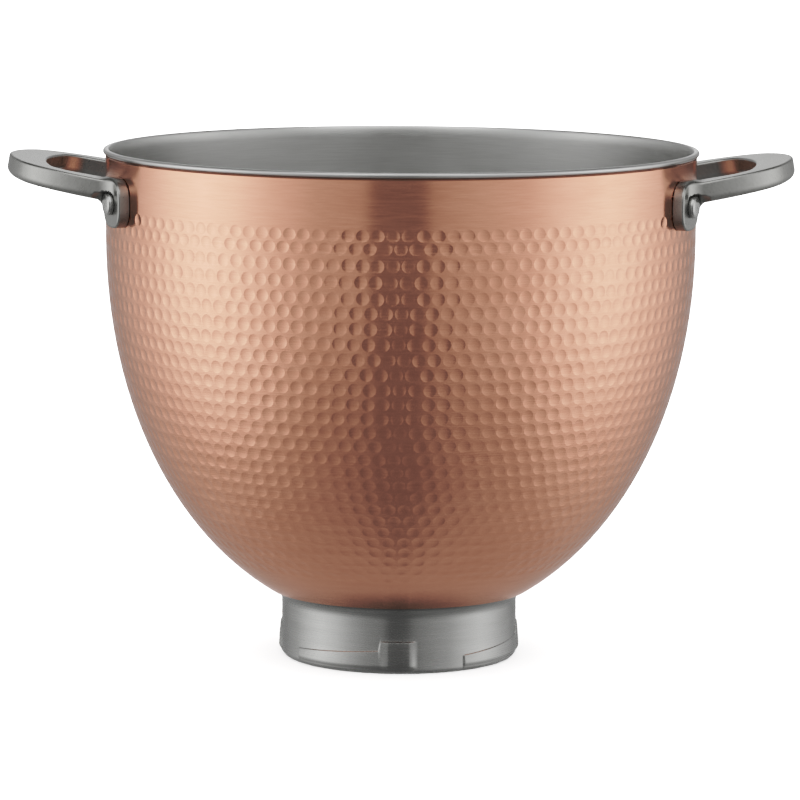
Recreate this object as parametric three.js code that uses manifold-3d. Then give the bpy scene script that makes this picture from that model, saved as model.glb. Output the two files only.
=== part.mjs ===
// Hammered copper bowl for a stand mixer: a stainless liner with a rolled rim, a copper
// shell round it, two loop handles held by two rivets each, and a twist-lock base ring.
// Millimetres, +Z up. The origin is on the table under the middle of the bowl, and the
// handles point along +X and -X.
import * as THREE from "three";
import { mergeVertices } from "three/addons/utils/BufferGeometryUtils.js";
import Module from "manifold-3d";

const wasm = await Module();
wasm.setup();

// ---- Driving dimensions ----

// Body outline, on the outside of the copper
const height = 194.5; // table to the top of the rim
const bodyRadius = 110.3; // at the straight wall
const wallDepth = 31.5; // rim to the end of the straight wall
const roundness = 2.1; // exponent of the superellipse below the wall

// Sheets, from the outside in
const copperThickness = 0.7;
const linerThickness = 0.8;
const gap = 0.3; // between any two pieces that touch

// Rolled rim of the liner
const rimOverhang = 2.7; // how far the rim stands out past the copper
const hemThickness = 1.9; // height of the rolled edge
const rimFlat = 0.8; // width of the flat on top, where a lid rests
const flareHeight = 4.4; // the flare inside, from the wall to the top
const lipDepth = 5.6; // rim to where the sheets start to turn out under it

// Low dome in the middle of the bowl's floor
const domeRadius = 24;
const domeHeight = 3.5;

// Base ring, stamped from one sheet
const baseHeight = 25.8; // table to the joint with the copper
const skirtRadius = 45;
const coveReach = 4.5; // how far the ring spreads from the skirt to that joint
const baseThickness = 1;
const weldLand = 1.2; // width of the band that lies along the bowl
const footWidth = 4.7; // skirt to the inner edge of the turned-in foot
const footBend = 2; // outside radius between foot and skirt

// Twist-lock cams, pressed out of the skirt
const camCount = 4;
const camProud = 1.1; // how far a cam stands out of the skirt
const camStart = -57; // degrees from the front, towards +X
const camStopStart = -9;
const camEnd = 9;
const camFoot = 1.5; // height of a cam's lower edge
const rampLowTop = 6.3; // height of the ramp where it starts
const rampHighTop = 9; // and where it meets the stop
const stopTop = 12.6;

// Handles
const handleReach = 35.6; // rim to the handle's far edge
const legInset = 4.2; // middle of a leg inside the middle of its lug's face, along Y
const barWidth = 12.4;
const barHeight = 7.8;
const barRounding = 1.6; // how far the sides bulge past the flat top
const outerBowRadius = 62; // the handle's far edge, seen from above
const outerCornerRadius = 20;
const innerBowRadius = 85;
const innerCornerRadius = 6;
const handleTilt = 10; // degrees, rising outwards
const rimToHandle = 9.3; // rim down to the top of a leg at its lug

// Lugs and rivets
const lugAzimuth = 22.5; // degrees from the X axis
const lugRadius = 8.85;
const lugThickness = 3.9;
const lugChamfer = 0.8;
const rimToRivet = 17.8; // rim down to the rivets
const rootFillet = 4.5; // under each leg, where it meets its lug
const rivetRadius = 3; // shank
const rivetHeadRadius = 4.15;
const rivetHeadHeight = 2.2;
const innerHeadRadius = 6.3;
const innerHeadHeight = 1.4;
const rivetClearance = 0.3;
const rivetPocket = 0.5; // room round a rivet's head, cut from the leg

// Facets
const facets = 48; // round the bowl
const bowlSteps = 14; // from the wall to the middle of the floor
const smallFacets = 16; // round lugs and rivets
const arcSteps = 4; // in a small bend
const camStep = 8; // degrees between the facets of a cam

// ---- Values that follow ----

const shoulderZ = height - wallDepth;
const rimRadius = bodyRadius + rimOverhang;
const baseTopRadius = skirtRadius + coveReach;
const footInnerRadius = skirtRadius - footWidth;
const baseShare = (baseTopRadius / bodyRadius) ** roundness;
const curveDepth = (shoulderZ - baseHeight) / (1 - baseShare) ** (1 / roundness);
const linerInset = copperThickness + gap;
const innerWallRadius = bodyRadius - linerInset - linerThickness;
const lugFaceRadius = bodyRadius + gap + lugThickness;
const legSpread = lugFaceRadius * Math.sin((lugAzimuth * Math.PI) / 180) - legInset;
const rivetZ = height - rimToRivet;
const facetFlat = Math.cos(Math.PI / facets); // a facet's middle is this much nearer the axis

// ---- Helpers ----

const radians = THREE.MathUtils.degToRad;

// Points along an arc, angles in radians, with the first one left out.
function arc(centre, radiusR, radiusZ, from, to, steps = arcSteps) {
  const points = [];
  for (let i = 1; i <= steps; i += 1) {
    const angle = from + ((to - from) * i) / steps;
    points.push([
      centre[0] + radiusR * Math.cos(angle),
      centre[1] + radiusZ * Math.sin(angle),
    ]);
  }
  return points;
}

// A closed profile of [radius, height] points turned round the Z axis.
function revolve(points, segments = facets) {
  const profile = points.map(([r, z]) => new THREE.Vector2(r, z));
  return new THREE.LatheGeometry(profile, segments).rotateX(Math.PI / 2);
}

// Lays a shape made round the Z axis along a radius of the bowl.
function alongRadius(geometry, azimuth, z) {
  return geometry.rotateY(Math.PI / 2).rotateZ(azimuth).translate(0, 0, z);
}

function toSolid(geometry) {
  const bare = new THREE.BufferGeometry();
  bare.setAttribute("position", geometry.getAttribute("position"));
  bare.setIndex(geometry.index);
  const merged = mergeVertices(bare, 1e-4);
  const vertProperties = merged.getAttribute("position").array;
  const triVerts = new Uint32Array(merged.index.array);
  return new wasm.Manifold(new wasm.Mesh({ numProp: 3, vertProperties, triVerts }));
}

function toGeometry(solid) {
  const mesh = solid.getMesh();
  const geometry = new THREE.BufferGeometry();
  geometry.setAttribute("position", new THREE.BufferAttribute(mesh.vertProperties, 3));
  geometry.setIndex(new THREE.BufferAttribute(mesh.triVerts, 1));
  geometry.computeVertexNormals();
  return geometry;
}

// The same curve moved sideways, to the left of its direction.
function offsetCurve(points, distance) {
  return points.map(([r, z], i) => {
    const [r0, z0] = points[Math.max(i - 1, 0)];
    const [r1, z1] = points[Math.min(i + 1, points.length - 1)];
    const length = Math.hypot(r1 - r0, z1 - z0);
    return [r - (distance * (z1 - z0)) / length, z + (distance * (r1 - r0)) / length];
  });
}

// ---- Body outline ----

// A point of the outline, moved inwards by inset. turn is 0 at the wall and 1 at the middle.
function outlineAt(turn, inset) {
  const angle = (turn * Math.PI) / 2;
  const across = Math.cos(angle) ** (2 / roundness);
  const down = Math.sin(angle) ** (2 / roundness);
  const normal = new THREE.Vector2(
    across ** (roundness - 1) / bodyRadius,
    down ** (roundness - 1) / curveDepth,
  ).normalize();
  return [
    bodyRadius * across - inset * normal.x,
    shoulderZ - curveDepth * down + inset * normal.y,
  ];
}

function turnAtRadius(radius) {
  return Math.acos((radius / bodyRadius) ** (roundness / 2)) / (Math.PI / 2);
}

// The outline from the turn given up to the wall. Every sheet shares the same facets.
function outlineFrom(firstTurn, inset) {
  const points = [outlineAt(firstTurn, inset)];
  for (let i = Math.ceil(firstTurn * bowlSteps) - 1; i >= 0; i -= 1) {
    points.push(outlineAt(i / bowlSteps, inset));
  }
  return points;
}

function withDome([r, z]) {
  const lift = r < domeRadius ? Math.cos((Math.PI * r) / (2 * domeRadius)) ** 2 : 0;
  return [r, z + domeHeight * lift];
}

// ---- Liner ----

// Quarter turn under the rolled rim, from the straight wall out to the middle of the roll,
// for a face that lies the inset given inside the copper's outside.
function turnUnderHem(inset) {
  const centre = [rimRadius - hemThickness / 2, height - lipDepth];
  const width = centre[0] - bodyRadius + inset;
  const rise = lipDepth - hemThickness - linerInset + inset;
  return arc(centre, width, rise, Math.PI, Math.PI / 2);
}

function rimProfile() {
  const outerWallRadius = bodyRadius - linerInset;
  const hemRadius = hemThickness / 2;
  const hemCentre = [rimRadius - hemRadius, height - hemRadius];
  const flareWidth = hemCentre[0] - rimFlat - innerWallRadius;
  const flareCentre = [innerWallRadius + flareWidth, height - flareHeight];
  return [
    [outerWallRadius, height - lipDepth],
    ...turnUnderHem(linerInset),
    ...arc(hemCentre, hemRadius, hemRadius, -Math.PI / 2, Math.PI / 2),
    [hemCentre[0] - rimFlat, height],
    ...arc(flareCentre, flareWidth, flareHeight, Math.PI / 2, Math.PI),
  ];
}

function makeLiner() {
  const outside = outlineFrom(1, linerInset).map(withDome);
  const inside = outlineFrom(1, linerInset + linerThickness).map(withDome);
  return toSolid(revolve([...outside, ...rimProfile(), ...inside.reverse()]));
}

// ---- Copper shell ----

function makeShell() {
  const bottomTurn = turnAtRadius(baseTopRadius + gap);
  const face = (inset) => [
    ...outlineFrom(bottomTurn, inset),
    [bodyRadius - inset, height - lipDepth],
    ...turnUnderHem(inset),
  ];
  const outside = face(0);
  const inside = face(copperThickness);
  return toSolid(revolve([...outside, ...inside.reverse(), outside[0]]));
}

// ---- Base ring ----

// The ring's outer face from the foot up: foot, bend, skirt, cove, and the land on the bowl.
function baseFace() {
  const faceInset = linerInset - gap - baseThickness;
  const tip = outlineAt(turnAtRadius(baseTopRadius), faceInset);
  const below = outlineAt(turnAtRadius(baseTopRadius - weldLand), faceInset);
  const lean = Math.atan2(tip[0] - below[0], tip[1] - below[1]);
  const coveRadius = (below[0] - skirtRadius) / (1 - Math.cos(lean));
  const coveCentre = [skirtRadius + coveRadius, below[1] - coveRadius * Math.sin(lean)];
  const bendCentre = [skirtRadius - footBend, footBend];
  return [
    [footInnerRadius, 0],
    [bendCentre[0], 0],
    ...arc(bendCentre, footBend, footBend, -Math.PI / 2, 0),
    [skirtRadius, coveCentre[1]],
    ...arc(coveCentre, coveRadius, coveRadius, Math.PI, Math.PI - lean),
    tip,
  ];
}

// A plate bent round the skirt, from one angle to another, with a top edge that climbs.
function bentPlate({ from, to, foot, lowTop, highTop, inner, outer }) {
  const steps = Math.ceil((to - from) / camStep);
  const plate = new THREE.BoxGeometry(1, 1, 1, steps, 1, 1).translate(0.5, 0.5, 0.5);
  const position = plate.getAttribute("position");
  for (let i = 0; i < position.count; i += 1) {
    const along = position.getX(i);
    const angle = radians(from + (to - from) * along);
    const top = lowTop + (highTop - lowTop) * along;
    const radius = inner + (outer - inner) * position.getZ(i);
    const z = foot + (top - foot) * position.getY(i);
    position.setXYZ(i, radius * Math.sin(angle), -radius * Math.cos(angle), z);
  }
  return toSolid(plate);
}

// A cam: a ramp that climbs to a taller stop. inset draws its outline in on every side.
function camBlock(inner, outer, inset) {
  const drawIn = THREE.MathUtils.radToDeg(inset / skirtRadius);
  const foot = camFoot + inset;
  const ramp = bentPlate({
    from: camStart + drawIn,
    to: camStopStart + drawIn + camStep / 2,
    foot,
    lowTop: rampLowTop - inset,
    highTop: rampHighTop - inset,
    inner,
    outer,
  });
  const stop = bentPlate({
    from: camStopStart + drawIn,
    to: camEnd - drawIn,
    foot,
    lowTop: stopTop - inset,
    highTop: stopTop - inset,
    inner,
    outer,
  });
  return ramp.add(stop);
}

function makeBase() {
  const face = baseFace();
  const back = offsetCurve(face, baseThickness);
  const boss = camBlock(skirtRadius - baseThickness / 2, skirtRadius + camProud, 0);
  const recess = camBlock(
    skirtRadius - 2 * baseThickness,
    skirtRadius + camProud - baseThickness,
    baseThickness,
  );
  let ring = toSolid(revolve([...face, ...back.reverse(), face[0]]));
  for (let i = 0; i < camCount; i += 1) {
    const turn = [0, 0, (360 * i) / camCount];
    ring = ring.add(boss.rotate(turn)).subtract(recess.rotate(turn));
  }
  return ring;
}

// ---- Handles and rivets ----

// The bar seen from above, in the plane of its top: a U whose legs run in to the lugs.
function barOutline() {
  const bulge = barRounding;
  const farEdge = rimRadius + handleReach - bulge;
  const outerY = legSpread + barWidth / 2;
  const innerY = legSpread - barWidth / 2;
  const outerBow = farEdge - outerBowRadius;
  const innerBow = farEdge - barWidth - innerBowRadius;
  const outerCorner = outerY - outerCornerRadius;
  const innerCorner = innerY - innerCornerRadius;
  const outerTurn = Math.asin(outerCorner / (outerBowRadius - outerCornerRadius));
  const innerTurn = Math.asin(innerCorner / (innerBowRadius - innerCornerRadius));
  const outerX = outerBow + (outerBowRadius - outerCornerRadius) * Math.cos(outerTurn);
  const innerX = innerBow + (innerBowRadius - innerCornerRadius) * Math.cos(innerTurn);
  const root = (bodyRadius - lugThickness) * Math.cos(radians(lugAzimuth));
  const outline = new THREE.Shape();
  outline.moveTo(root, -outerY);
  outline.absarc(outerX, -outerCorner, outerCornerRadius, -Math.PI / 2, -outerTurn, false);
  outline.absarc(outerBow, 0, outerBowRadius, -outerTurn, outerTurn, false);
  outline.absarc(outerX, outerCorner, outerCornerRadius, outerTurn, Math.PI / 2, false);
  outline.lineTo(root, outerY);
  outline.lineTo(root, innerY);
  outline.absarc(innerX, innerCorner, innerCornerRadius, Math.PI / 2, innerTurn, true);
  outline.absarc(innerBow, 0, innerBowRadius, innerTurn, -innerTurn, true);
  outline.absarc(innerX, -innerCorner, innerCornerRadius, -innerTurn, -Math.PI / 2, true);
  outline.lineTo(root, -innerY);
  outline.closePath();
  return outline;
}

function makeBar() {
  const pivotX = lugFaceRadius * Math.cos(radians(lugAzimuth));
  const bar = new THREE.ExtrudeGeometry(barOutline(), {
    depth: barHeight - 2 * barRounding,
    bevelThickness: barRounding,
    bevelSize: barRounding,
    bevelSegments: 2,
    curveSegments: arcSteps + 1,
  });
  bar.translate(-pivotX, 0, barRounding - barHeight);
  bar.rotateY(-radians(handleTilt));
  return bar.translate(pivotX, 0, height - rimToHandle);
}

function lugPlate(side) {
  const root = bodyRadius - lugThickness;
  const profile = [
    [0, root],
    [lugRadius, root],
    [lugRadius, lugFaceRadius - lugChamfer],
    [lugRadius - lugChamfer, lugFaceRadius],
    [0, lugFaceRadius],
  ];
  return alongRadius(revolve(profile, smallFacets), radians(side * lugAzimuth), rivetZ);
}

// Fills the corner between a leg's underside and its lug.
function legFillet(side) {
  const legBottom = height - rimToHandle - barHeight;
  const face = lugFaceRadius * Math.cos(radians(lugAzimuth));
  const root = face - lugThickness;
  const overlap = barRounding;
  const corner = new THREE.Shape();
  corner.moveTo(root, legBottom - rootFillet);
  corner.lineTo(face, legBottom - rootFillet);
  corner.absarc(face + rootFillet, legBottom - rootFillet, rootFillet, Math.PI, Math.PI / 2, true);
  corner.lineTo(face + rootFillet, legBottom + overlap);
  corner.lineTo(root, legBottom + overlap);
  corner.closePath();
  const fillet = new THREE.ExtrudeGeometry(corner, {
    depth: barWidth,
    bevelEnabled: false,
    curveSegments: arcSteps,
  });
  return fillet.rotateX(Math.PI / 2).translate(0, side * legSpread + barWidth / 2, 0);
}

// A plain round bar along a rivet's axis, used to cut its hole and the pocket for its head.
function rivetCutter(radius, from, to, side) {
  const profile = [[0, from], [radius, from], [radius, to], [0, to]];
  return toSolid(alongRadius(revolve(profile, smallFacets), radians(side * lugAzimuth), rivetZ));
}

function rivetHole(side) {
  const reach = lugFaceRadius + rivetHeadHeight;
  return rivetCutter(rivetRadius + rivetClearance, bodyRadius / 2, reach, side);
}

function makeHandle() {
  const envelope = toSolid(
    revolve([[0, 0], [bodyRadius + gap, 0], [bodyRadius + gap, height], [0, height]]),
  );
  const pocketRadius = rivetHeadRadius + rivetPocket;
  const pocketEnd = lugFaceRadius + rivetHeadHeight + barWidth;
  let handle = toSolid(makeBar());
  for (const side of [-1, 1]) {
    handle = handle.add(toSolid(lugPlate(side))).add(toSolid(legFillet(side)));
  }
  for (const side of [-1, 1]) {
    handle = handle.subtract(rivetCutter(pocketRadius, lugFaceRadius, pocketEnd, side));
    handle = handle.subtract(rivetHole(side));
  }
  return handle.subtract(envelope);
}

// A rivet with a low round head inside the bowl and a domed end outside its lug.
function makeRivet(side) {
  const wallDip = innerWallRadius - Math.sqrt(innerWallRadius ** 2 - innerHeadRadius ** 2);
  const seat = innerWallRadius * facetFlat - wallDip - gap;
  const neck = lugFaceRadius + gap;
  const end = neck + rivetHeadHeight;
  const edge = rivetHeadRadius / 5;
  const profile = [
    [0, seat - innerHeadHeight],
    [innerHeadRadius * 0.6, seat - innerHeadHeight * 0.85],
    [innerHeadRadius, seat - innerHeadHeight * 0.3],
    [innerHeadRadius, seat],
    [rivetRadius, seat],
    [rivetRadius, neck],
    [rivetHeadRadius, neck],
    [rivetHeadRadius, end - edge],
    [rivetHeadRadius - edge, end - edge / 3],
    [0, end],
  ];
  return alongRadius(revolve(profile, smallFacets), radians(side * lugAzimuth), rivetZ);
}

// ---- Assembly ----

const steel = { color: 0x9c9b98, roughness: 0.34, metalness: 1 };
const copper = { color: 0xd08f70, roughness: 0.32, metalness: 1 };

function addPiece(group, name, geometry, finish) {
  const piece = new THREE.Mesh(geometry, new THREE.MeshStandardMaterial(finish));
  piece.name = name;
  group.add(piece);
}

// Cuts the four rivet holes through a sheet of the body.
function drilled(sheet) {
  let body = sheet;
  for (const turn of [0, Math.PI]) {
    for (const side of [-1, 1]) {
      const hole = rivetHole(side).rotate([0, 0, THREE.MathUtils.radToDeg(turn)]);
      body = body.subtract(hole);
    }
  }
  return body;
}

const bowl = new THREE.Group();
addPiece(bowl, "bowl_liner", toGeometry(drilled(makeLiner())), steel);
addPiece(bowl, "copper_shell", toGeometry(drilled(makeShell())), copper);
addPiece(bowl, "base_ring", toGeometry(makeBase()), steel);

// The handle set on +X is made once and turned half round for -X.
const handleSets = [
  { side: "right", turn: 0, sideNames: { "-1": "front", 1: "back" } },
  { side: "left", turn: Math.PI, sideNames: { "-1": "back", 1: "front" } },
];
const handleGeometry = toGeometry(makeHandle());
for (const { side, turn, sideNames } of handleSets) {
  const set = new THREE.Group();
  set.rotation.z = turn;
  addPiece(set, `handle_${side}`, handleGeometry, steel);
  for (const end of [-1, 1]) {
    addPiece(set, `rivet_${side}_${sideNames[end]}`, makeRivet(end), steel);
  }
  bowl.add(set);
}

export default bowl;
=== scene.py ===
import math

import bpy
import numpy as np
from mathutils import Matrix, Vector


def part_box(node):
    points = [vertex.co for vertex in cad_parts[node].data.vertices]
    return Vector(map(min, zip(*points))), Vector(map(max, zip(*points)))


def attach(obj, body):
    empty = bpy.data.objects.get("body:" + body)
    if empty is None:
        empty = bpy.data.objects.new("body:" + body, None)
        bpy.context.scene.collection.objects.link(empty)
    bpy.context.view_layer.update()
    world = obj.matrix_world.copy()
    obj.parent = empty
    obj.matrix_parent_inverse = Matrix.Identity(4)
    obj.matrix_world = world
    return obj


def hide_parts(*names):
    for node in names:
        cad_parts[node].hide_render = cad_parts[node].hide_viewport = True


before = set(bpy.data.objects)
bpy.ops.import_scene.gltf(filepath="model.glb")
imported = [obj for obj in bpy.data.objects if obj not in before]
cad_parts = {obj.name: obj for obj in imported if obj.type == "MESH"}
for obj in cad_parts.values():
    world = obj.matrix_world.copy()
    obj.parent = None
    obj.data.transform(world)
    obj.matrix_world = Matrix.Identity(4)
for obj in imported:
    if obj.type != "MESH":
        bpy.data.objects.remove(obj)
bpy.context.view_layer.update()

# A hammered copper mixing bowl. Shapes are worked out in millimetres, like the CAD, and
# turned into metres when a mesh is made. phi is an angle round the bowl: 0 at the front.

rng = np.random.default_rng(7)
TAU = 2 * math.pi


def box_mm(node):
    low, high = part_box(node)
    return [v * 1000 for v in low], [v * 1000 for v in high]


# ---- Dimensions, as in the CAD model ----

HEIGHT = box_mm("bowl_liner")[1][2]
# The shell's widest point, its turned-out edge. The CAD's wall is 1.75 inside it.
BODY_R = box_mm("copper_shell")[1][0]
RIM_R = box_mm("bowl_liner")[1][0]
HANDLE_END = box_mm("handle_right")[1][0]
WALL_DEPTH = 31.5
ROUNDNESS = 2.1
COPPER = 0.7
LINER = 0.8
GAP = 0.3
HEM = 1.9
RIM_FLAT = 0.8
FLARE = 4.4
LIP = 5.6
RIM_SEAM = 0.06
DOME_R = 24.0
DOME_H = 3.5

BASE_H = 25.8
BASE_TOP_R = 49.5
SKIRT_R = 45.0
BASE_T = 1.0
WELD_LAND = 1.2
RING_TUCK = 0.6
FLANK = 4.2
RAMP_SHARE = 0.6
LEDGE_SHARE = 0.45
FULL_PROUD_Z = 3.6
FOOT_R = 40.3
FOOT_BEND = 2.0
CAM_PROUD = 1.1
CAM_START = -57.0
STOP_START = -9.0
CAM_END = 9.0
RAMP_LOW = 6.3
RAMP_HIGH = 9.0
STOP_TOP = 12.6

LEG_Y = 39.6
BAR_W = 12.4
BAR_H = 7.8
BAR_BULGE = 1.6
OUTER_BOW = 62.0
OUTER_CORNER = 20.0
INNER_BOW = 85.0
INNER_CORNER = 6.0
TILT = math.radians(10.0)
RIM_TO_HANDLE = 9.3
LUG_AZ = math.radians(22.5)
LUG_R = 8.85
LUG_T = 3.9
LUG_SEAM = 0.1
LUG_SQUARENESS = 2.8
RIM_TO_RIVET = 17.8
LUG_FACE = BODY_R + GAP + LUG_T
RIVET_Z = HEIGHT - RIM_TO_RIVET

SHOULDER_Z = HEIGHT - WALL_DEPTH
BASE_SHARE = (BASE_TOP_R / BODY_R) ** ROUNDNESS
CURVE_DEPTH = (SHOULDER_Z - BASE_H) / (1 - BASE_SHARE) ** (1 / ROUNDNESS)
WALL_IN = BODY_R - COPPER - GAP - LINER


# ---- Mesh helpers ----

def make_piece(name, verts, faces, material, corner_normals=None):
    mesh = bpy.data.meshes.new(name)
    mesh.from_pydata((np.asarray(verts, float) * 0.001).tolist(), [], faces)
    mesh.shade_smooth()
    if corner_normals is not None:
        unit = corner_normals / np.linalg.norm(corner_normals, axis=1)[:, None]
        mesh.normals_split_custom_set(unit.tolist())
    piece = bpy.data.objects.new(name, mesh)
    bpy.context.scene.collection.objects.link(piece)
    mesh.materials.append(material)
    return piece


def arc(centre, radius_r, radius_z, start, end, steps=10):
    """Points along an arc, angles in radians, with the first one left out."""
    angles = start + (end - start) * np.arange(1, steps + 1) / steps
    return [
        (centre[0] + radius_r * math.cos(a), centre[1] + radius_z * math.sin(a)) for a in angles
    ]


def revolve(points, segments):
    """A closed [radius, height] profile, outer face going up, turned round the Z axis."""
    profile = np.array(points, float)
    phi = np.arange(segments) * TAU / segments
    ring = np.stack([np.sin(phi), -np.cos(phi)], 1)
    verts = np.zeros((len(profile), segments, 3))
    verts[:, :, :2] = profile[:, None, :1] * ring[None]
    verts[:, :, 2] = profile[:, None, 1]
    return verts.reshape(-1, 3), grid_faces(len(profile), segments)


def grid_faces(rows, columns, closed=True):
    """Quads of a grid that closes on itself round the columns, and along the rows if closed."""
    faces = []
    for i in range(rows if closed else rows - 1):
        below, above = i * columns, ((i + 1) % rows) * columns
        for j in range(columns):
            k = (j + 1) % columns
            faces.append((below + j, below + k, above + k, above + j))
    return faces


def smoothstep(low, high, x):
    t = np.clip((x - low) / (high - low), 0, 1)
    return t * t * (3 - 2 * t)


# ---- Body outline ----

def outline(turn, inset):
    """Points of the outline moved inwards: turn is 0 at the wall and 1 at the middle."""
    angle = np.asarray(turn) * math.pi / 2
    across = np.cos(angle) ** (2 / ROUNDNESS)
    down = np.sin(angle) ** (2 / ROUNDNESS)
    nr = across ** (ROUNDNESS - 1) / BODY_R
    nz = down ** (ROUNDNESS - 1) / CURVE_DEPTH
    size = np.hypot(nr, nz)
    r = BODY_R * across - inset * nr / size
    z = SHOULDER_Z - CURVE_DEPTH * down + inset * nz / size
    return r, z, nr / size, -nz / size


def turn_at(radius):
    return math.acos((radius / BODY_R) ** (ROUNDNESS / 2)) / (math.pi / 2)


# ---- Copper shell: rows of hammered dimples between two plain bands ----

table_turn = np.linspace(0, turn_at(BASE_TOP_R + GAP), 3000)
table_r, table_z, table_nr, table_nz = outline(table_turn, 0)
table_s = WALL_DEPTH + np.concatenate(
    [[0], np.cumsum(np.hypot(np.diff(table_r), np.diff(table_z)))]
)
SHELL_TOP = LIP
SHELL_END = table_s[-1]


def on_shell(phi, s, lift=0.0, slope_u=0.0, slope_w=0.0):
    """Positions, normals and plain normals on the copper: s is the way down from the rim,
    and the slopes are those of the surface's height along the row and up the bowl."""
    phi, s, lift, slope_u, slope_w = np.broadcast_arrays(phi, s, lift, slope_u, slope_w)
    r = np.interp(s, table_s, table_r)
    z = np.where(s < WALL_DEPTH, HEIGHT - s, np.interp(s, table_s, table_z))
    nr = np.interp(s, table_s, table_nr)
    nz = np.interp(s, table_s, table_nz)
    sin, cos = np.sin(phi), np.cos(phi)
    zero = np.zeros_like(sin)
    normal = np.stack([nr * sin, -nr * cos, nz], -1)
    along = np.stack([cos, sin, zero], -1)
    up = np.stack([-nz * sin, nz * cos, nr], -1)
    place = np.stack([r * sin, -r * cos, z], -1) + lift[..., None] * normal
    tilted = normal - slope_u[..., None] * along - slope_w[..., None] * up
    return place, tilted, normal


def on_flare(phi, angle, inset):
    """The same on the copper's turn into the rolled rim, on a face moved inwards. With BODY_R
    at the shell's widest point, the turn has no width on the outer face."""
    centre = RIM_R - HEM / 2
    width = centre - BODY_R + inset
    rise = LIP - HEM - COPPER - RIM_SEAM + inset
    cos, sin = math.cos(angle), math.sin(angle)
    r, z = centre + width * cos, HEIGHT - LIP + rise * sin
    nr, nz = np.array([-cos / width, -sin / rise]) / math.hypot(cos / width, sin / rise)
    one = np.ones_like(phi)
    place = np.stack([r * np.sin(phi), -r * np.cos(phi), z * one], -1)
    normal = np.stack([nr * np.sin(phi), -nr * np.cos(phi), nz * one], -1)
    return place, normal, normal


class Net:
    """Collects vertices with their two normals, and triangles: craters use the tilted
    normal, and the land round them uses the plain one, so that a crater's rim is crisp."""

    def __init__(self):
        self.places, self.tilted, self.plain = [], [], []
        self.faces, self.craters, self.count = [], [], 0

    def add(self, placed, flip=False):
        sign = -1 if flip else 1
        place, tilted, plain = (a.reshape(-1, 3) for a in placed)
        self.places.append(place)
        self.tilted.append(sign * tilted)
        self.plain.append(sign * plain)
        ids = np.arange(self.count, self.count + len(place))
        self.count += len(place)
        return ids

    def finish(self):
        """Vertices, triangles, and a normal for each corner of each triangle."""
        faces = self.faces + self.craters
        corners = np.array(faces)
        plain = np.concatenate(self.plain)[corners[: len(self.faces)].ravel()]
        tilted = np.concatenate(self.tilted)[corners[len(self.faces):].ravel()]
        return np.concatenate(self.places), faces, np.concatenate([plain, tilted])

    def join(self, upper, upper_phi, lower, lower_phi):
        """Triangles between two closed rings whose angles grow, the first one above."""
        n, m = len(upper), len(lower)
        shift = int(np.argmin(np.abs((lower_phi - upper_phi[0] + math.pi) % TAU - math.pi)))
        lower = np.roll(lower, -shift)
        first = (lower_phi[shift] - upper_phi[0] + math.pi) % TAU - math.pi
        a_phi = np.append(upper_phi - upper_phi[0], TAU)
        b_phi = first + (np.roll(lower_phi, -shift) - lower_phi[shift]) % TAU
        b_phi = np.append(b_phi, first + TAU)
        a = b = 0
        while a < n or b < m:
            if b >= m or (a < n and a_phi[a + 1] <= b_phi[b + 1]):
                self.faces.append((int(upper[a % n]), int(lower[b % m]), int(upper[(a + 1) % n])))
                a += 1
            else:
                self.faces.append((int(upper[a % n]), int(lower[b % m]), int(lower[(b + 1) % m])))
                b += 1


def ring_pattern(inner, outer):
    """Triangles between two rings round one centre, as (is_outer, index) corners."""
    faces, a, b = [], 0, 0
    while a < inner or b < outer:
        if b >= outer or (a < inner and (a + 1) / inner <= (b + 1) / outer):
            faces.append(((0, a % inner), (1, b % outer), (0, (a + 1) % inner)))
            a += 1
        else:
            faces.append(((0, a % inner), (1, b % outer), (1, (b + 1) % outer)))
            b += 1
    return faces


FIRST_ROW = 22.7         # rim down to the middle of the first row
FIRST_GAPS = (4.3, 6.2, 6.0, 5.9, 5.2)
FIRST_PHASES = (0.5, 0.0, 0.5, 0.37, 0.5, 0.07, 0.02, -0.1, 0.25, -0.25)
LAST_ROW = 165.3
DIMPLE_PITCH = 5.41
DIMPLE_DEPTH = 0.2
DIMPLE_R = 2.5
RIM_POINTS = 12
INNER_POINTS = 6


def dimple_rows():
    rows = [FIRST_ROW, *(FIRST_ROW + np.cumsum(FIRST_GAPS))]
    while rows[-1] < LAST_ROW - 2:
        share = (rows[-1] - FIRST_ROW) / (LAST_ROW - FIRST_ROW)
        rows.append(rows[-1] + 5.86 - 0.72 * share)
    return np.array(rows)


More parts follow.
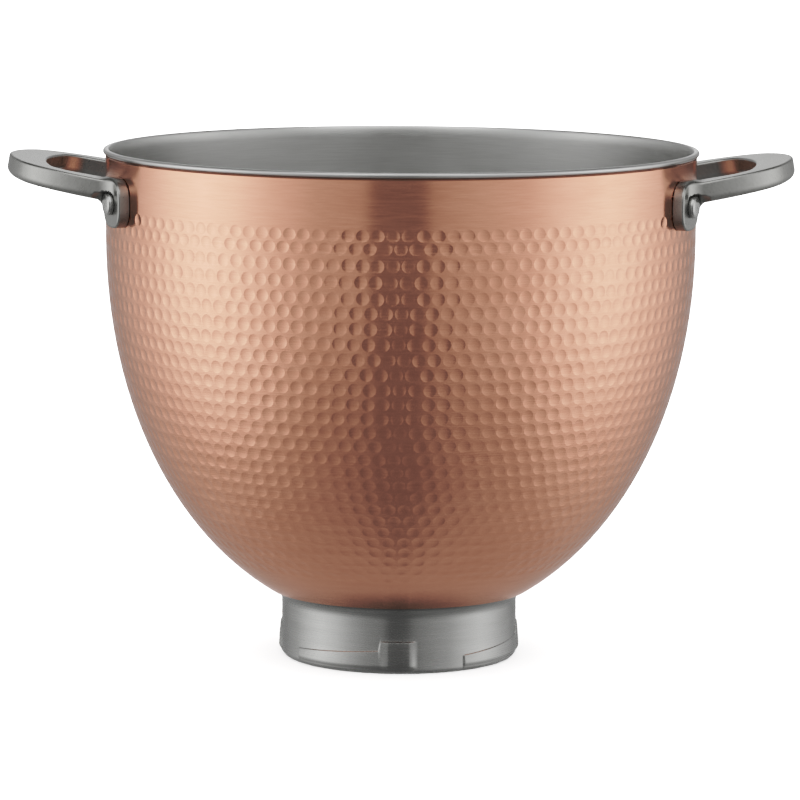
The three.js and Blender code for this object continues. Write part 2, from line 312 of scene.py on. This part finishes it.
def make_shell(material):
    net = Net()
    rows = dimple_rows()
    gaps = np.diff(rows)
    wide = 256
    ring_phi = np.arange(wide) * TAU / wide
    flare_angles = np.linspace(math.pi / 2, math.pi, 9)
    top_ring = net.add(on_flare(ring_phi, flare_angles[0], 0))
    chain, chain_phi = top_ring, ring_phi
    for angle in flare_angles[1:-1]:
        ring = net.add(on_flare(ring_phi, angle, 0))
        net.join(chain, chain_phi, ring, ring_phi)
        chain = ring
    for s in np.linspace(SHELL_TOP, rows[0] - 2.9, 6):
        ring = net.add(on_shell(ring_phi, s))
        net.join(chain, chain_phi, ring, ring_phi)
        chain = ring

    rim_land = ring_pattern(RIM_POINTS, 8)
    bowl_in = ring_pattern(INNER_POINTS, RIM_POINTS)
    theta = np.arange(RIM_POINTS) * TAU / RIM_POINTS
    theta_in = np.arange(INNER_POINTS) * TAU / INNER_POINTS
    phase = 0.0
    for k, s in enumerate(rows):
        radius = float(np.interp(s, table_s, table_r))
        count = round(TAU * radius / DIMPLE_PITCH)
        pitch = TAU / count
        up_room = gaps[k - 1] / 2 if k else 2.75
        down_room = gaps[k] / 2 if k < len(gaps) else 2.7
        phase = FIRST_PHASES[k] if k < len(FIRST_PHASES) else phase + rng.uniform(-0.2, 0.4)
        phi = (phase % 1 + np.arange(count)) * pitch
        share = k / (len(rows) - 1)

        edge = 0.06
        top_s, low_s = s - up_room + edge, s + down_room - edge
        left = phi - pitch / 2
        a_ids = net.add(on_shell(left, top_s))
        b_ids = net.add(on_shell(left, s))
        c_ids = net.add(on_shell(left, low_s))
        d_ids = net.add(on_shell(phi, top_s))
        e_ids = net.add(on_shell(phi, low_s))

        size = 1 - np.abs(rng.normal(0, 0.018, count)).clip(0, 0.05)
        depth = DIMPLE_DEPTH * (1 - 0.3 * share) * (1 + rng.normal(0, 0.13, count).clip(-0.3, 0.3))
        full = DIMPLE_R * (1 - 0.04 * share)
        half_w = full * size
        half_up = min(up_room - 0.12, full * 1.03) * size
        half_dn = min(down_room - 0.12, full * 1.03) * size
        off_u = rng.normal(0, 0.09, count).clip(-0.2, 0.2)
        off_w = rng.normal(0, 0.07, count).clip(-0.12, 0.12) * (0 if k < 2 else 1)

        def crater(angles, share_out):
            cos, sin = np.cos(angles)[None], np.sin(angles)[None]
            half_h = np.where(sin > 0, half_up[:, None], half_dn[:, None])
            u = off_u[:, None] + share_out * half_w[:, None] * cos
            w = off_w[:, None] + share_out * half_h * sin
            lift = -depth[:, None] * (1 - share_out ** 2) * np.ones_like(cos)
            slope_u = 2 * depth[:, None] * share_out * cos / half_w[:, None]
            slope_w = 2 * depth[:, None] * share_out * sin / half_h
            placed = on_shell(phi[:, None] + u / radius, s - w, lift, slope_u, slope_w)
            return net.add(placed).reshape(count, -1)

        rim = crater(theta, 1.0)
        inner = crater(theta_in, 0.55)
        centre = crater(np.zeros(1), 0.0)[:, 0]

        nxt = np.roll(np.arange(count), -1)
        frame_loop = np.stack(
            [b_ids[nxt], a_ids[nxt], d_ids, a_ids, b_ids, c_ids, e_ids, c_ids[nxt]], 1
        )
        for loops, pattern, faces in (
            ((rim, frame_loop), rim_land, net.faces),
            ((inner, rim), bowl_in, net.craters),
        ):
            for corners in pattern:
                columns = [loops[side][:, index] for side, index in corners]
                faces += list(map(tuple, np.stack(columns, 1).tolist()))
        for i in range(INNER_POINTS):
            fan = np.stack([centre, inner[:, i], inner[:, (i + 1) % INNER_POINTS]], 1)
            net.craters += list(map(tuple, fan.tolist()))

        upper = np.stack([a_ids, d_ids], 1).ravel()
        upper_phi = np.stack([left, phi], 1).ravel()
        net.join(chain, chain_phi, upper, upper_phi)
        chain = np.stack([c_ids, e_ids], 1).ravel()
        chain_phi = upper_phi

    for s in np.linspace(rows[-1] + 3.0, SHELL_END, 8):
        ring = net.add(on_shell(ring_phi, s))
        net.join(chain, chain_phi, ring, ring_phi)
        chain, chain_phi = ring, ring_phi
    for s in np.linspace(SHELL_END, SHELL_TOP, 26):
        ring = net.add(on_shell(ring_phi, s, -COPPER), flip=True)
        net.join(chain, chain_phi, ring, ring_phi)
        chain = ring
    for angle in flare_angles[-2::-1]:
        ring = net.add(on_flare(ring_phi, angle, COPPER), flip=True)
        net.join(chain, chain_phi, ring, ring_phi)
        chain = ring
    net.join(chain, chain_phi, top_ring, ring_phi)
    verts, faces, normals = net.finish()
    return make_piece("hammered_shell", verts, faces, material, normals)


# ---- Liner with its rolled rim ----

def make_liner(material):
    inset = COPPER + GAP
    outer_wall = BODY_R - inset
    hem = HEM / 2
    hem_centre = (RIM_R - hem, HEIGHT - hem)
    flare_w = hem_centre[0] - RIM_FLAT - WALL_IN
    under = (hem_centre[0], HEIGHT - LIP)
    flare_centre = (WALL_IN + flare_w, HEIGHT - FLARE)

    def sheet(distance):
        turns = np.linspace(1, 0, 110)
        r, z, _, _ = outline(turns, distance)
        lift = np.where(r < DOME_R, np.cos(math.pi * r / (2 * DOME_R)) ** 2, 0)
        points = list(zip(np.maximum(r, 0.02), z + DOME_H * lift))
        return points

    wall_steps = np.linspace(SHOULDER_Z, HEIGHT - LIP, 10)[1:]
    profile = sheet(inset)
    profile += [(outer_wall, z) for z in wall_steps]
    profile += arc(under, under[0] - outer_wall, LIP - HEM, math.pi, math.pi / 2, 8)
    profile += arc(hem_centre, hem, hem, -math.pi / 2, math.pi / 2, 16)
    profile += [(hem_centre[0] - RIM_FLAT / 2, HEIGHT), (hem_centre[0] - RIM_FLAT, HEIGHT)]
    profile += arc(flare_centre, flare_w, FLARE, math.pi / 2, math.pi, 14)
    inside_wall = np.linspace(HEIGHT - FLARE, SHOULDER_Z, 10)[1:-1]
    profile += [(WALL_IN, z) for z in inside_wall]
    profile += sheet(inset + LINER)[::-1]
    verts, faces = revolve(profile, 256)
    return make_piece("steel_liner", verts, faces, material)


# ---- Base ring with its four cams, one pressed sheet ----

def make_base(material):
    """The ring's top runs on a little under the copper, whose edge shades it. A cam is proudest
    low down and keeps a small ledge on top, and its stop stands out further than its ramp."""
    face_inset = COPPER + 0.1
    tip = [float(v) for v in outline(turn_at(BASE_TOP_R + RING_TUCK), face_inset)[:2]]
    below = [float(v) for v in outline(turn_at(BASE_TOP_R - WELD_LAND), face_inset)[:2]]
    lean = math.atan2(tip[0] - below[0], tip[1] - below[1])
    cove_r = (below[0] - SKIRT_R) / (1 - math.cos(lean))
    cove = (SKIRT_R + cove_r, below[1] - cove_r * math.sin(lean))
    bend = (SKIRT_R - FOOT_BEND, FOOT_BEND)

    edges = (CAM_START, STOP_START, CAM_END)
    quarter = np.sort(np.concatenate(
        [np.arange(-60, 30, 1.0), np.arange(-14, 12, 0.4)]
        + [np.linspace(e - 1.4, e + 1.4, 13) for e in edges]
    ))
    quarter = quarter[np.concatenate([[True], np.diff(quarter) > 0.1])]
    phi_deg = np.concatenate([quarter + 90 * i for i in range(4)])
    local = np.concatenate([quarter] * 4)
    bevel = 0.95
    ramp_on = smoothstep(CAM_START - 0.5, CAM_START + 0.4, local)
    stop_on = smoothstep(STOP_START - 0.6, STOP_START + FLANK, local)
    over = 1 - smoothstep(CAM_END - FLANK, CAM_END + 0.3, local)
    present = (RAMP_SHARE * ramp_on + (1 - RAMP_SHARE) * stop_on) * over
    along = np.clip((local - CAM_START) / (STOP_START - CAM_START), 0, 1)
    ramp = RAMP_LOW + (RAMP_HIGH - RAMP_LOW) * along
    stop = smoothstep(STOP_START - bevel, STOP_START + bevel / 2, local)
    stop *= 1 - smoothstep(CAM_END + bevel, 30, local)
    top = ramp + (STOP_TOP - ramp) * stop
    top = np.where(local > CAM_END + bevel, RAMP_LOW + (STOP_TOP - RAMP_LOW) * stop, top)

    columns = len(phi_deg)
    rows = []

    def level(r, z, proud=0.0):
        rows.append((np.broadcast_to(r, columns) + proud * CAM_PROUD * present,
                     np.broadcast_to(z, columns)))

    def skirt(radius):
        """The skirt's levels: heights follow each column's own cam top."""
        full = FULL_PROUD_Z
        for t in np.linspace(0, 1, 8):
            proud = 0.3 + 0.7 * math.sin(t * math.pi / 2)
            level(radius, FOOT_BEND + (full - FOOT_BEND) * t, proud)
        for t in np.linspace(0, 1, 9)[1:-1]:
            proud = 1 - (1 - LEDGE_SHARE) * t ** 1.5
            level(radius, full + (top - 0.3 - full) * t, proud)
        for t in np.linspace(0, 1, 9):
            level(radius, top - 0.3 + 0.45 * t, LEDGE_SHARE * (1 - smoothstep(0, 1, t)))
        for t in np.linspace(0, 1, 6)[1:]:
            level(radius, top + 0.15 + (cove[1] - top - 0.15) * t)

    level(FOOT_R, 0.25)
    level(FOOT_R + 0.2, 0.0)
    level(bend[0], 0.0)
    for i, (r, z) in enumerate(arc(bend, FOOT_BEND, FOOT_BEND, -math.pi / 2, 0, 8)[:-1]):
        level(r, z, 0.3 * ((i + 1) / 8) ** 2)
    skirt(SKIRT_R)
    for r, z in arc(cove, cove_r, cove_r, math.pi, math.pi - lean, 14):
        level(r, z)
    level(tip[0], tip[1])
    normal = np.array([-math.cos(lean), math.sin(lean)])
    level(tip[0] + normal[0] * BASE_T, tip[1] + normal[1] * BASE_T)
    for r, z in arc(cove, cove_r + BASE_T, cove_r + BASE_T, math.pi - lean, math.pi, 10):
        level(r, z)
    inner_start = len(rows)
    skirt(SKIRT_R - BASE_T)
    rows[inner_start:] = rows[inner_start:][::-1]
    for r, z in arc(bend, FOOT_BEND - BASE_T, FOOT_BEND - BASE_T, 0, -math.pi / 2, 5):
        level(r, z)
    level(FOOT_R + 0.2, BASE_T)
    level(FOOT_R, BASE_T - 0.2)

    phi = np.radians(phi_deg)
    verts = np.stack(
        [np.stack([r * np.sin(phi), -r * np.cos(phi), z * np.ones(columns)], 1) for r, z in rows]
    ).reshape(-1, 3)
    return make_piece("base_ring_sheet", verts, grid_faces(len(rows), columns), material)


# ---- Handles: one smooth casting each, meshed from a distance field ----

def rounded_and(a, b, radius):
    """Both shapes at once, with their shared edge rounded to the radius given."""
    a, b = a + radius, b + radius
    outside = np.hypot(np.maximum(a, 0), np.maximum(b, 0))
    return np.minimum(np.maximum(a, b), 0) + outside - radius


def filleted_or(a, b, radius):
    """Either shape, with a fillet of the radius given where they meet."""
    inside = np.hypot(np.maximum(radius - a, 0), np.maximum(radius - b, 0))
    return np.maximum(radius, np.minimum(a, b)) - inside


def handle_field(p):
    x, y, z = p[..., 0], p[..., 1], p[..., 2]
    y = np.abs(y)
    pivot = LUG_FACE * math.cos(LUG_AZ)
    along = (x - pivot) * math.cos(TILT) + (z - (HEIGHT - RIM_TO_HANDLE)) * math.sin(TILT)
    rise = (z - (HEIGHT - RIM_TO_HANDLE)) * math.cos(TILT) - (x - pivot) * math.sin(TILT)
    far = HANDLE_END - 0.02
    px = along + pivot
    side = BAR_BULGE * 0.6
    outer_bow = np.hypot(px - (far - OUTER_BOW), y) - OUTER_BOW
    outer = rounded_and(outer_bow, y - (LEG_Y + BAR_W / 2 + side), OUTER_CORNER)
    inner_far = far - BAR_W - 2 * side
    inner_bow = np.hypot(px - (inner_far - INNER_BOW), y) - INNER_BOW
    inner = rounded_and(inner_bow, y - (LEG_Y - BAR_W / 2 - side), INNER_CORNER)
    plan = np.maximum(outer, -inner)
    middle = rise + BAR_H / 2
    bar = np.where(
        middle > 0,
        rounded_and(plan, middle - BAR_H / 2, 0.9),
        rounded_and(plan, -middle - BAR_H / 2, 3.2),
    )
    radial = x * math.cos(LUG_AZ) + y * math.sin(LUG_AZ)
    sideways = -x * math.sin(LUG_AZ) + y * math.cos(LUG_AZ)
    round_r = np.hypot(sideways, z - RIVET_Z)
    n = LUG_SQUARENESS
    squared = (np.abs(sideways) ** n + np.abs(z - RIVET_Z) ** n) ** (1 / n)
    lug = rounded_and(squared - LUG_R, radial - LUG_FACE, 0.7)
    body = filleted_or(bar, lug, 4.2)
    pocket = rounded_and(round_r - (RIVET_HEAD_R + 0.55), LUG_FACE - radial, 0.3)
    body = np.maximum(body, -pocket)
    return np.maximum(body, BODY_R + LUG_SEAM - np.hypot(x, p[..., 1]))


def surface_net(field, low, high, step):
    """Quads over the field's zero surface, with vertices pulled onto it, and its normals."""
    axes = [np.arange(a, b + step, step) for a, b in zip(low, high)]
    grid = np.stack(np.meshgrid(*axes, indexing="ij"), -1)
    value = field(grid)
    inside = value < 0
    shape = np.array(value.shape) - 1
    total = np.zeros((*shape, 3))
    crossings = np.zeros(shape)
    starts = [(0, 0), (0, 1), (1, 0), (1, 1)]

    def window(array, offset):
        return array[tuple(slice(o, o + n) for o, n in zip(offset, shape))]

    for axis in range(3):
        others = [a for a in range(3) if a != axis]
        for first, second in starts:
            at = [0, 0, 0]
            at[others[0]], at[others[1]] = first, second
            to = list(at)
            to[axis] = 1
            f0, f1 = window(value, at), window(value, to)
            cut = window(inside, at) != window(inside, to)
            t = np.where(cut, f0 / np.where(cut, f0 - f1, 1), 0)
            for a in range(3):
                total[..., a] += np.where(cut, at[a] + (t if a == axis else 0), 0)
            crossings += cut
    used = crossings > 0
    ids = np.full(shape, -1)
    ids[used] = np.arange(used.sum())
    cell = np.stack(np.nonzero(used), 1)
    places = np.array(low) + step * (cell + total[used] / crossings[used][:, None])

    quads = []
    for axis in range(3):
        b, c = [(1, 2), (2, 0), (0, 1)][axis]
        ends = [slice(None)] * 3
        ends[axis] = slice(0, -1)
        tail = [slice(None)] * 3
        tail[axis] = slice(1, None)
        first, second = inside[tuple(ends)], inside[tuple(tail)]
        for flag, flip in ((first & ~second, False), (second & ~first, True)):
            at = np.stack(np.nonzero(flag), 1)
            at = at[(at[:, b] > 0) & (at[:, c] > 0)]
            corners = []
            for db, dc in ((1, 1), (0, 1), (0, 0), (1, 0)):
                near = at.copy()
                near[:, b] -= db
                near[:, c] -= dc
                corners.append(ids[near[:, 0], near[:, 1], near[:, 2]])
            quad = np.stack(corners, 1)
            quads.append(quad[:, ::-1] if flip else quad)
    quads = np.concatenate(quads)

    def gradient(p, reach):
        columns = []
        for a in range(3):
            move = np.zeros(3)
            move[a] = reach
            columns.append((field(p + move) - field(p - move)) / (2 * reach))
        return np.stack(columns, -1)

    for _ in range(4):
        slope = gradient(places, 0.02)
        size = np.maximum((slope ** 2).sum(-1), 0.2)
        shift = (field(places) / size)[:, None] * slope
        places = places - shift.clip(-step / 3, step / 3)
    return places, list(map(tuple, quads.tolist())), gradient(places, 0.12)


def make_handles(material):
    span = LUG_FACE * math.sin(LUG_AZ) + LUG_R + 1.5
    low = (97.0, -span, RIVET_Z - LUG_R - 1.5)
    high = (HANDLE_END + 1.5, span, HEIGHT + 2.0)
    verts, faces, normals = surface_net(handle_field, low, high, 0.55)
    handles = {}
    for side, turn in (("right", 1), ("left", -1)):
        flip = np.array([turn, turn, 1])
        corner_normals = (normals * flip)[np.array(faces).ravel()]
        handles[side] = make_piece(f"handle_casting_{side}", verts * flip, faces, material,
                                   corner_normals)
    return handles


# ---- Rivets ----

RIVET_R = 3.0
RIVET_HEAD_R = 4.15
RIVET_HEAD_H = 2.2
INNER_HEAD_R = 6.3
INNER_HEAD_H = 1.4


def make_rivet(name, azimuth, material):
    dip = WALL_IN - math.sqrt(WALL_IN ** 2 - INNER_HEAD_R ** 2)
    seat = WALL_IN - dip - GAP
    neck = LUG_FACE + 0.1
    end = LUG_FACE + GAP + RIVET_HEAD_H
    dome = 0.75
    profile = [(0.02, seat - INNER_HEAD_H)]
    profile += [
        (INNER_HEAD_R * math.sin(a), seat - 0.35 - (INNER_HEAD_H - 0.35) * math.cos(a))
        for a in np.linspace(0.1, math.pi / 2, 10)
    ]
    profile += [(INNER_HEAD_R, seat), (RIVET_R, seat), (RIVET_R, neck), (RIVET_HEAD_R - 0.25, neck)]
    barrel = np.linspace(0, 1, 7)
    profile += [
        (RIVET_HEAD_R - 0.18 * (2 * t - 1) ** 2, neck + 0.2 + (end - dome - neck - 0.2) * t)
        for t in barrel
    ]
    profile += [
        (RIVET_HEAD_R - 0.18 - 0.5 * (1 - math.cos(a)), end - dome + 0.35 * math.sin(a))
        for a in np.linspace(0.2, math.pi / 2, 5)
    ]
    cap_r = RIVET_HEAD_R - 0.68
    profile += [
        (max(cap_r * math.cos(a), 0.02), end - dome + 0.35 + (dome - 0.35) * math.sin(a))
        for a in np.linspace(0.15, math.pi / 2, 8)
    ]
    verts, faces = revolve(profile, 48)
    laid = np.stack([verts[:, 2], verts[:, 0], -verts[:, 1]], 1)
    cos, sin = math.cos(azimuth), math.sin(azimuth)
    turned = np.stack(
        [laid[:, 0] * cos - laid[:, 1] * sin, laid[:, 0] * sin + laid[:, 1] * cos,
         laid[:, 2] + RIVET_Z], 1
    )
    return make_piece(name, turned, faces, material)


# ---- Materials ----

class Nodes:
    """Short helpers to build one material's node tree."""

    def __init__(self, name):
        self.material = bpy.data.materials.new(name)
        self.material.use_nodes = True
        self.tree = self.material.node_tree
        self.shader = self.tree.nodes["Principled BSDF"]

    def new(self, kind, **settings):
        node = self.tree.nodes.new(kind)
        for key, value in settings.items():
            setattr(node, key, value)
        return node

    def link(self, source, target):
        self.tree.links.new(source, target)

    def math(self, operation, a, b=None):
        node = self.new("ShaderNodeMath", operation=operation)
        for socket, value in zip(node.inputs, (a, b)):
            if value is None:
                continue
            if isinstance(value, (int, float)):
                socket.default_value = value
            else:
                self.link(value, socket)
        return node.outputs[0]

    def noise(self, vector, scale, detail=2.0):
        node = self.new("ShaderNodeTexNoise")
        node.inputs["Scale"].default_value = scale
        node.inputs["Detail"].default_value = detail
        self.link(vector, node.inputs["Vector"])
        return node.outputs["Fac"]

    def spread(self, value, low, high):
        """A noise value, which is mostly between 0.3 and 0.7, stretched to a new range."""
        node = self.new("ShaderNodeMapRange")
        node.inputs["From Min"].default_value = 0.3
        node.inputs["From Max"].default_value = 0.7
        node.inputs["To Min"].default_value = low
        node.inputs["To Max"].default_value = high
        self.link(value, node.inputs["Value"])
        return node.outputs["Result"]

    def turned_grain(self, along, across):
        """Coordinates in which a noise becomes fine lines round the Z axis."""
        place = self.new("ShaderNodeTexCoord").outputs["Object"]
        split = self.new("ShaderNodeSeparateXYZ")
        self.link(place, split.inputs[0])
        x, y, z = split.outputs
        radius = self.math("SQRT", self.math("ADD", self.math("MULTIPLY", x, x),
                                             self.math("MULTIPLY", y, y)))
        level = self.math("MULTIPLY", self.math("ADD", radius, z), across)
        join = self.new("ShaderNodeCombineXYZ")
        self.link(self.math("MULTIPLY", x, along), join.inputs[0])
        self.link(self.math("MULTIPLY", y, along), join.inputs[1])
        self.link(level, join.inputs[2])
        return join.outputs[0]

    def tint(self, value, dark, light):
        node = self.new("ShaderNodeMix", data_type="RGBA")
        node.inputs["A"].default_value = (*dark, 1)
        node.inputs["B"].default_value = (*light, 1)
        self.link(value, node.inputs["Factor"])
        return node.outputs["Result"]


def metal(name, dark, light, roughness, spread, stretch, along, across, bump):
    """A brushed metal: tone, roughness and fine grooves all follow the same grain."""
    n = Nodes(name)
    n.shader.inputs["Metallic"].default_value = 1.0
    fine_place = n.turned_grain(along, across)
    fine = n.noise(fine_place, 1.0, 3.0)
    broad = n.noise(n.turned_grain(along * 0.3, across * 0.12), 1.0, 2.0)
    cloud = n.noise(n.new("ShaderNodeTexCoord").outputs["Object"], 28.0, 3.0)
    tone = n.math("ADD", n.math("MULTIPLY", n.spread(fine, 0, 1), 0.45),
                  n.math("MULTIPLY", n.spread(broad, 0, 1), 0.3))
    tone = n.math("ADD", tone, n.math("MULTIPLY", n.spread(cloud, 0, 1), 0.25))
    n.link(n.tint(tone, dark, light), n.shader.inputs["Base Color"])
    rough = n.math("ADD", n.spread(fine, -spread, spread), n.spread(cloud, -spread / 2, spread / 2))
    n.link(n.math("ADD", rough, roughness), n.shader.inputs["Roughness"])
    if stretch:
        n.shader.inputs["Anisotropic"].default_value = stretch
        n.shader.inputs["Anisotropic Rotation"].default_value = 0.25
        tangent = n.new("ShaderNodeTangent", direction_type="RADIAL", axis="Z")
        n.link(tangent.outputs[0], n.shader.inputs["Tangent"])
    groove = n.new("ShaderNodeBump")
    groove.inputs["Strength"].default_value = bump
    groove.inputs["Distance"].default_value = 0.0001
    n.link(fine, groove.inputs["Height"])
    n.link(groove.outputs[0], n.shader.inputs["Normal"])
    return n.material


copper_look = metal("hammered_copper", (0.80, 0.415, 0.30), (0.94, 0.515, 0.38),
                    0.20, 0.03, 0.88, 130.0, 2400.0, 0.3)
liner_look = metal("brushed_liner", (0.57, 0.57, 0.56), (0.67, 0.67, 0.66),
                   0.34, 0.03, 0.8, 90.0, 2600.0, 0.03)
base_look = metal("brushed_base", (0.355, 0.355, 0.347), (0.445, 0.445, 0.437),
                  0.27, 0.03, 0.7, 90.0, 2600.0, 0.04)
handle_look = metal("satin_handle", (0.35, 0.35, 0.338), (0.43, 0.43, 0.418),
                    0.30, 0.03, 0.0, 900.0, 900.0, 0.03)
rivet_look = metal("steel_rivet", (0.46, 0.46, 0.45), (0.56, 0.56, 0.55),
                   0.28, 0.04, 0.0, 1500.0, 1500.0, 0.06)

# ---- Pieces ----

pieces = {
    "copper_shell": make_shell(copper_look),
    "bowl_liner": make_liner(liner_look),
    "base_ring": make_base(base_look),
}
for side, handle in make_handles(handle_look).items():
    pieces[f"handle_{side}"] = handle
for side, ahead in (("right", 0.0), ("left", math.pi)):
    for end, sign in (("front", -1), ("back", 1)):
        flip = sign if side == "right" else -sign
        name = f"rivet_{side}_{end}"
        pieces[name] = make_rivet(f"{name}_turned", ahead + flip * LUG_AZ, rivet_look)
for node, piece in pieces.items():
    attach(piece, "root")
    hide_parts(node)

# ---- Floor ----

floor_look = Nodes("pale_floor")
floor_look.shader.inputs["Roughness"].default_value = 0.9
floor_look.shader.inputs["Specular IOR Level"].default_value = 0.0
floor_look.shader.inputs["Base Color"].default_value = (0.9, 0.9, 0.9, 1)
floor_mesh = bpy.data.meshes.new("floor")
reach = 3.0
floor_mesh.from_pydata(
    [(-reach, -reach, 0), (reach, -reach, 0), (reach, reach, 0), (-reach, reach, 0)], [],
    [(0, 1, 2, 3)],
)
floor_mesh.materials.append(floor_look.material)
floor = bpy.data.objects.new("floor", floor_mesh)
bpy.context.scene.collection.objects.link(floor)
floor.visible_glossy = False

# ---- Studio: a white room whose metal reflections come from two large side lights ----

world = bpy.data.worlds.new("studio")
bpy.context.scene.world = world
world.use_nodes = True
world.cycles.sampling_method = "NONE"
tree = world.node_tree
background = tree.nodes["Background"]


def world_node(kind, **settings):
    node = tree.nodes.new(kind)
    for key, value in settings.items():
        setattr(node, key, value)
    return node


def ramp(stops):
    """Brightness by angle from the front, in degrees, to the left (-) and right (+)."""
    node = world_node("ShaderNodeValToRGB")
    elements = node.color_ramp.elements
    while len(elements) > 1:
        elements.remove(elements[-1])
    for i, (angle, value) in enumerate(stops):
        place = (angle + 180) / 360
        element = elements[0] if i == 0 else elements.new(place)
        element.position = place
        element.color = (value, value, value, 1)
    return node


direction = world_node("ShaderNodeTexCoord").outputs["Generated"]
split = world_node("ShaderNodeSeparateXYZ")
tree.links.new(direction, split.inputs[0])
front = world_node("ShaderNodeMath", operation="MULTIPLY")
tree.links.new(split.outputs[1], front.inputs[0])
front.inputs[1].default_value = -1
angle = world_node("ShaderNodeMath", operation="ARCTAN2")
tree.links.new(split.outputs[0], angle.inputs[0])
tree.links.new(front.outputs[0], angle.inputs[1])
turned = world_node("ShaderNodeMapRange")
turned.inputs["From Min"].default_value = -math.pi
turned.inputs["From Max"].default_value = math.pi
tree.links.new(angle.outputs[0], turned.inputs["Value"])

level_light = ramp([
    (-180, 0.55), (-168, 0.22), (-150, 0.20), (-119, 0.40), (-98, 0.70), (-82, 0.84), (-66, 0.70),
    (-48, 0.43), (-32, 0.285), (-12.8, 0.235), (-11.4, 0.115),
    (9.6, 0.115), (11, 0.21), (32, 0.30), (50, 0.39), (67, 0.60), (87, 0.75), (100, 0.67),
    (119, 0.45), (150, 0.20), (168, 0.22), (180, 0.55),
])
floor_light = ramp([
    (-180, 0.21), (-90, 0.19), (-40, 0.16), (-8, 0.112), (8, 0.112), (40, 0.165), (90, 0.20),
    (180, 0.21),
])
sky_light = ramp([
    (-180, 0.24), (-112, 0.05), (-75, 0.22), (-32, 0.82), (0, 0.58), (32, 0.78), (75, 0.24),
    (112, 0.05), (180, 0.24),
])
for node in (level_light, floor_light, sky_light):
    tree.links.new(turned.outputs[0], node.inputs[0])


def fade(low, high):
    node = world_node("ShaderNodeMapRange", interpolation_type="SMOOTHSTEP")
    node.inputs["From Min"].default_value = math.sin(math.radians(low))
    node.inputs["From Max"].default_value = math.sin(math.radians(high))
    tree.links.new(split.outputs[2], node.inputs["Value"])
    return node.outputs["Result"]


def blend(factor, a, b):
    node = world_node("ShaderNodeMix", data_type="RGBA")
    tree.links.new(factor, node.inputs["Factor"])
    for key, value in (("A", a), ("B", b)):
        if isinstance(value, float):
            node.inputs[key].default_value = (value, value, value, 1)
        else:
            tree.links.new(value, node.inputs[key])
    return node.outputs["Result"]


seen_low = blend(fade(-55, -8), floor_light.outputs[0], level_light.outputs[0])
seen = blend(fade(12, 42), seen_low, sky_light.outputs[0])
path = world_node("ShaderNodeLightPath")
lit = blend(path.outputs["Is Glossy Ray"], 2.5, seen)
tree.links.new(lit, background.inputs["Color"])

# ---- Camera and tone ----

camera_data = bpy.data.cameras.new("camera")
camera_data.lens = 192.4
camera_data.sensor_width = 36.0
camera = bpy.data.objects.new("camera", camera_data)
bpy.context.scene.collection.objects.link(camera)
pitch = Matrix.Rotation(math.radians(90 - 7.966), 4, "X")
roll = Matrix.Rotation(math.radians(0.3), 4, "Z")
camera.matrix_world = Matrix.Translation((0, -1.62, 0.3246)) @ pitch @ roll
bpy.context.scene.camera = camera

view = bpy.context.scene.view_settings
view.view_transform = "Standard"
view.look = "None"
view.use_curve_mapping = True
tone = view.curve_mapping.curves[3]
for x, y in ((0.042, 0.047), (0.057, 0.067), (0.100, 0.156), (0.1355, 0.235), (0.255, 0.456),
             (0.384, 0.64), (0.726, 0.88)):
    tone.points.new(x, y)
view.curve_mapping.update()
